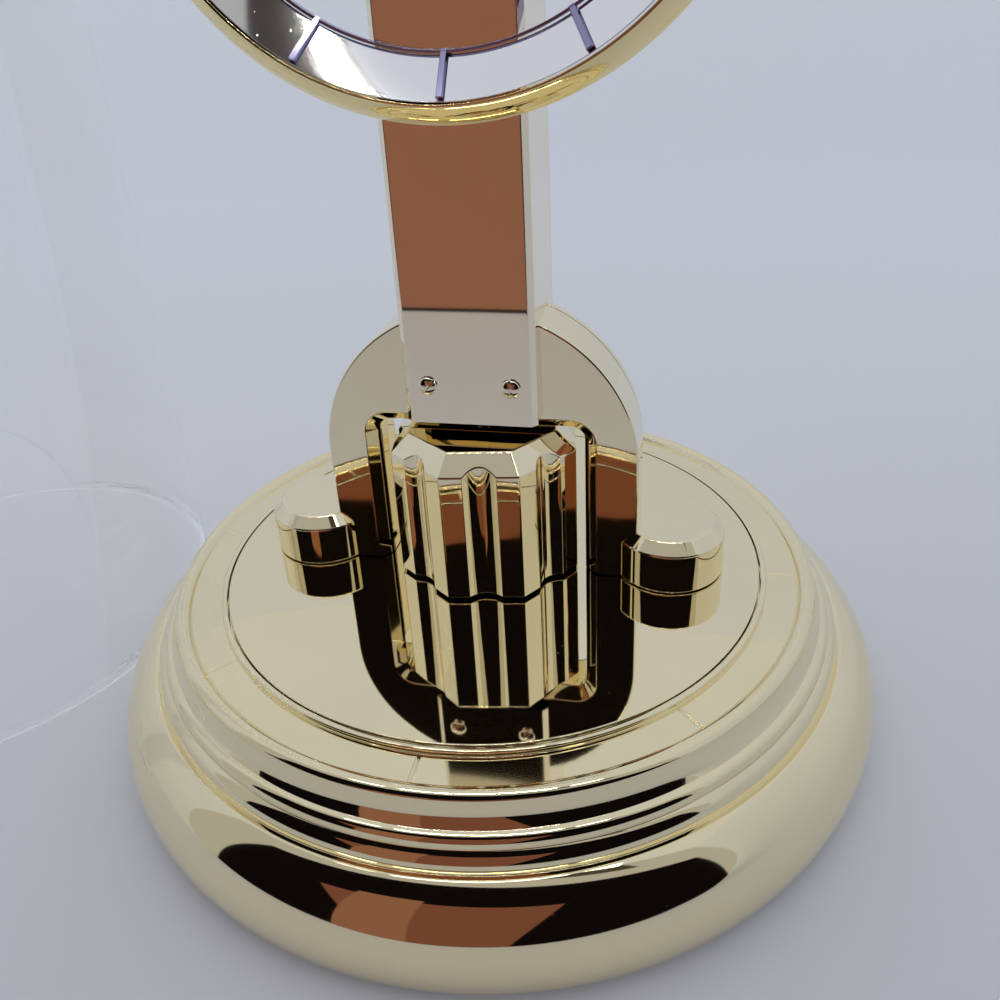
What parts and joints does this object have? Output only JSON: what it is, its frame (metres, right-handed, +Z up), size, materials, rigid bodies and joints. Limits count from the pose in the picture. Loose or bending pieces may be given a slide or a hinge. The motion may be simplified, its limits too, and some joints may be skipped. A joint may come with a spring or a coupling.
{
  "type": "anniversary clock",
  "caption": "Quartz anniversary clock: round polished base, arch over a turning fluted pendulum, skeleton dial on a pillar, glass dome stood beside it.",
  "frame": {"origin": "centre of the bottom cover's flat outer face, on the axis of the base and the pendulum; the rubber feet reach 2.6 mm below it", "axes": "+Z up along the base's axis, -Y towards the viewer of the dial, +X to the viewer's right; the dome stands at -X"},
  "size_m": [0.3004, 0.1722, 0.2401],
  "materials": {
    "base_metal": "mirror polished, pale gold plated",
    "gold_plate": "mirror polished, gold plated",
    "silver_plate": "polished, silver plated",
    "bar_metal": "satin, lavender grey",
    "brass_bush": "turned",
    "copper_wire": "enamelled wire",
    "steel": "nickel plated",
    "cell_jacket": "plain jacket",
    "black_plastic": "fine texture",
    "board": "solder resist",
    "rubber": "soft",
    "hand_lacquer": "gloss black",
    "dome_glass": "clear blown glass"
  },
  "bodies": {
    "clock": {"base_shell": "base_metal", "mirror_disc": "base_metal", "base_chassis": "black_plastic", "bottom_cover": "black_plastic", "bottom_screw_1": "steel", "bottom_screw_2": "steel", "bottom_screw_3": "steel", "rubber_foot_1": "rubber", "rubber_foot_2": "rubber", "rubber_foot_3": "rubber", "rubber_foot_4": "rubber", "battery_cell": "cell_jacket", "contact_positive": "steel", "contact_negative": "steel", "circuit_board": "board", "drive_coil": "copper_wire", "coil_core": "steel", "arch_front": "gold_plate", "arch_back": "gold_plate", "arch_screw_1": "steel", "arch_screw_2": "steel", "hanger_bush": "brass_bush", "side_foot_left": "gold_plate", "side_foot_right": "gold_plate", "side_foot_screw_1": "steel", "side_foot_screw_2": "steel", "pillar_front": "gold_plate", "pillar_back": "gold_plate", "pillar_screw_1": "gold_plate", "pillar_screw_2": "gold_plate", "movement_lead": "rubber", "pivot_bush": "brass_bush", "dial_ring": "silver_plate", "dial_bezel": "gold_plate", "hour_ring": "bar_metal", "dial_screw_1": "steel", "dial_screw_2": "steel", "movement_drum": "gold_plate", "movement_cover": "gold_plate", "cover_screw_1": "steel", "cover_screw_2": "steel", "drum_screw_1": "steel", "drum_screw_2": "steel", "movement_module": "black_plastic", "centre_post": "steel"},
    "pendulum": {"pendulum_body": "gold_plate", "pendulum_plate": "brass_bush", "pendulum_weight": "steel", "pendulum_magnet": "steel", "pendulum_shaft": "steel"},
    "minute": {"minute_hand": "hand_lacquer", "cannon_pinion": "brass_bush", "hand_nut": "gold_plate"},
    "hour": {"hour_hand": "hand_lacquer", "hour_wheel": "brass_bush"},
    "minute_work": {"minute_wheel": "brass_bush", "set_knob": "black_plastic"},
    "door": {"battery_door": "black_plastic"},
    "dome": {"glass_dome": "dome_glass"}
  },
  "joints": [
    {"name": "pendulum_turn", "type": "hinge", "parent": "clock", "child": "pendulum", "pos_m": [0, 0, 0.0299], "axis": [0, 0, 1], "range_deg": [-200, 200]},
    {"name": "minute_turn", "type": "hinge", "parent": "clock", "child": "minute", "pos_m": [0, -0.0111, 0.1818], "axis": [0, 1, 0], "continuous": true},
    {"name": "hour_turn", "type": "hinge", "parent": "clock", "child": "hour", "pos_m": [0, -0.0111, 0.1818], "axis": [0, 1, 0], "continuous": true},
    {"name": "minute_wheel_turn", "type": "hinge", "parent": "clock", "child": "minute_work", "pos_m": [0, -0.0111, 0.1718], "axis": [0, 1, 0], "continuous": true},
    {"name": "battery_door_turn", "type": "hinge", "parent": "clock", "child": "door", "pos_m": [0.038, 0, 0], "axis": [0, 0, 1], "range_deg": [0, 40]},
    {"name": "dome_lift", "type": "slide", "parent": "clock", "child": "dome", "axis": [0, 0, 1], "range_m": [0, 0.26]}
  ],
  "couplings": [
    {"joint": "hour_turn", "follows": "minute_turn", "ratio": 0.083333},
    {"joint": "minute_wheel_turn", "follows": "minute_turn", "ratio": -0.33333}
  ]
}
